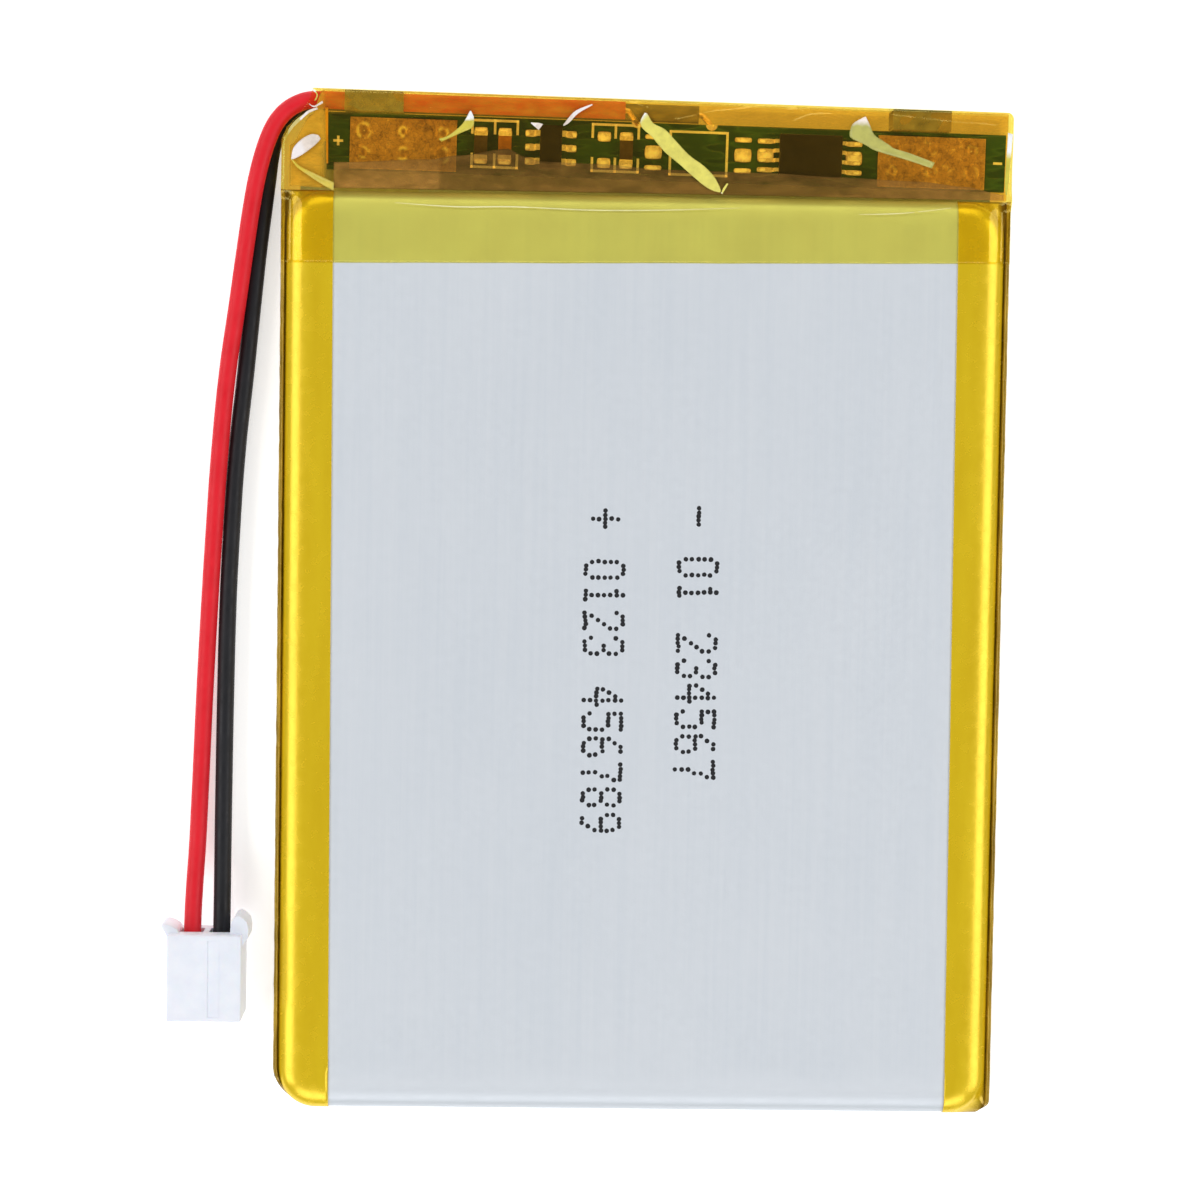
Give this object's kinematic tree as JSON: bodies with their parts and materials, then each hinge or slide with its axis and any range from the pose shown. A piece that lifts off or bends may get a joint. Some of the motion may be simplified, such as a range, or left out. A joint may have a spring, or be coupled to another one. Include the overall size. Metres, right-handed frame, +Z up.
{
  "type": "pouch battery cell",
  "caption": "Flat rectangular lithium pouch cell with taped sides, a protection board under clear amber tape and leads that end in a small two-way plug.",
  "frame": {"origin": "centre of the taped body's footprint, on the plane that its back rests on", "axes": "+X across the cell towards the negative terminal's side, +Y along it towards the board end, +Z up out of the printed front face"},
  "size_m": [0.0577, 0.0702, 0.0044],
  "materials": {
    "laminate_front": "satin blue-grey coated foil with a faint lengthwise grain",
    "laminate_back": "satin coated foil",
    "cathode": "matt black coating on foil",
    "anode": "matt graphite coating on copper foil",
    "separator": "thin white film",
    "stack_tape": "green polyester tape",
    "aluminium_tab": "rolled strip",
    "nickel_tab": "rolled nickel strip",
    "sealant": "translucent sealing film",
    "board": "dark green solder mask",
    "terminal_pad": "uneven solder coat",
    "pad": "solder-coated copper",
    "solder": "bright solder",
    "nickel_plate": "rolled nickel",
    "package": "moulded epoxy",
    "component_lead": "tinned",
    "resistor": "black glaze",
    "capacitor": "brown ceramic",
    "copper_strand": "part-tinned copper strand",
    "foam": "closed-cell foam",
    "side_tape": "yellow polyimide film over foil",
    "clear_tape": "clear amber polyimide film with wrinkles",
    "red_insulation": "smooth soft sheath",
    "black_insulation": "smooth soft sheath",
    "contact": "tinned bronze",
    "plug_plastic": "white nylon"
  },
  "bodies": {
    "root": {"pouch_front_shell": "laminate_front", "pouch_back_cover": "laminate_back", "cathode_sheets": "cathode", "anode_sheets": "anode", "separator": "separator", "stack_tapes": "stack_tape", "positive_tab": "aluminium_tab", "negative_tab": "nickel_tab", "positive_tab_sealant": "sealant", "negative_tab_sealant": "sealant", "circuit_board": "board", "terminal_pads": "terminal_pad", "solder_pads": "pad", "via_plugs": "solder", "positive_weld_plate": "nickel_plate", "negative_weld_plate": "nickel_plate", "protection_ic": "package", "protection_ic_leads": "component_lead", "power_switch": "package", "power_switch_leads": "component_lead", "chip_resistors": "resistor", "chip_capacitor": "capacitor", "chip_end_caps": "component_lead", "solder_fillets": "solder", "wire_solder_joints": "solder", "bare_wire_ends": "copper_strand", "board_foam_pad": "foam", "side_tape_left": "side_tape", "side_tape_right": "side_tape", "end_tape": "clear_tape", "red_lead_taped": "red_insulation", "black_lead_taped": "black_insulation", "red_lead": "red_insulation", "black_lead": "black_insulation", "crimp_terminals": "contact", "connector_housing": "plug_plastic"}
  },
  "joints": []
}
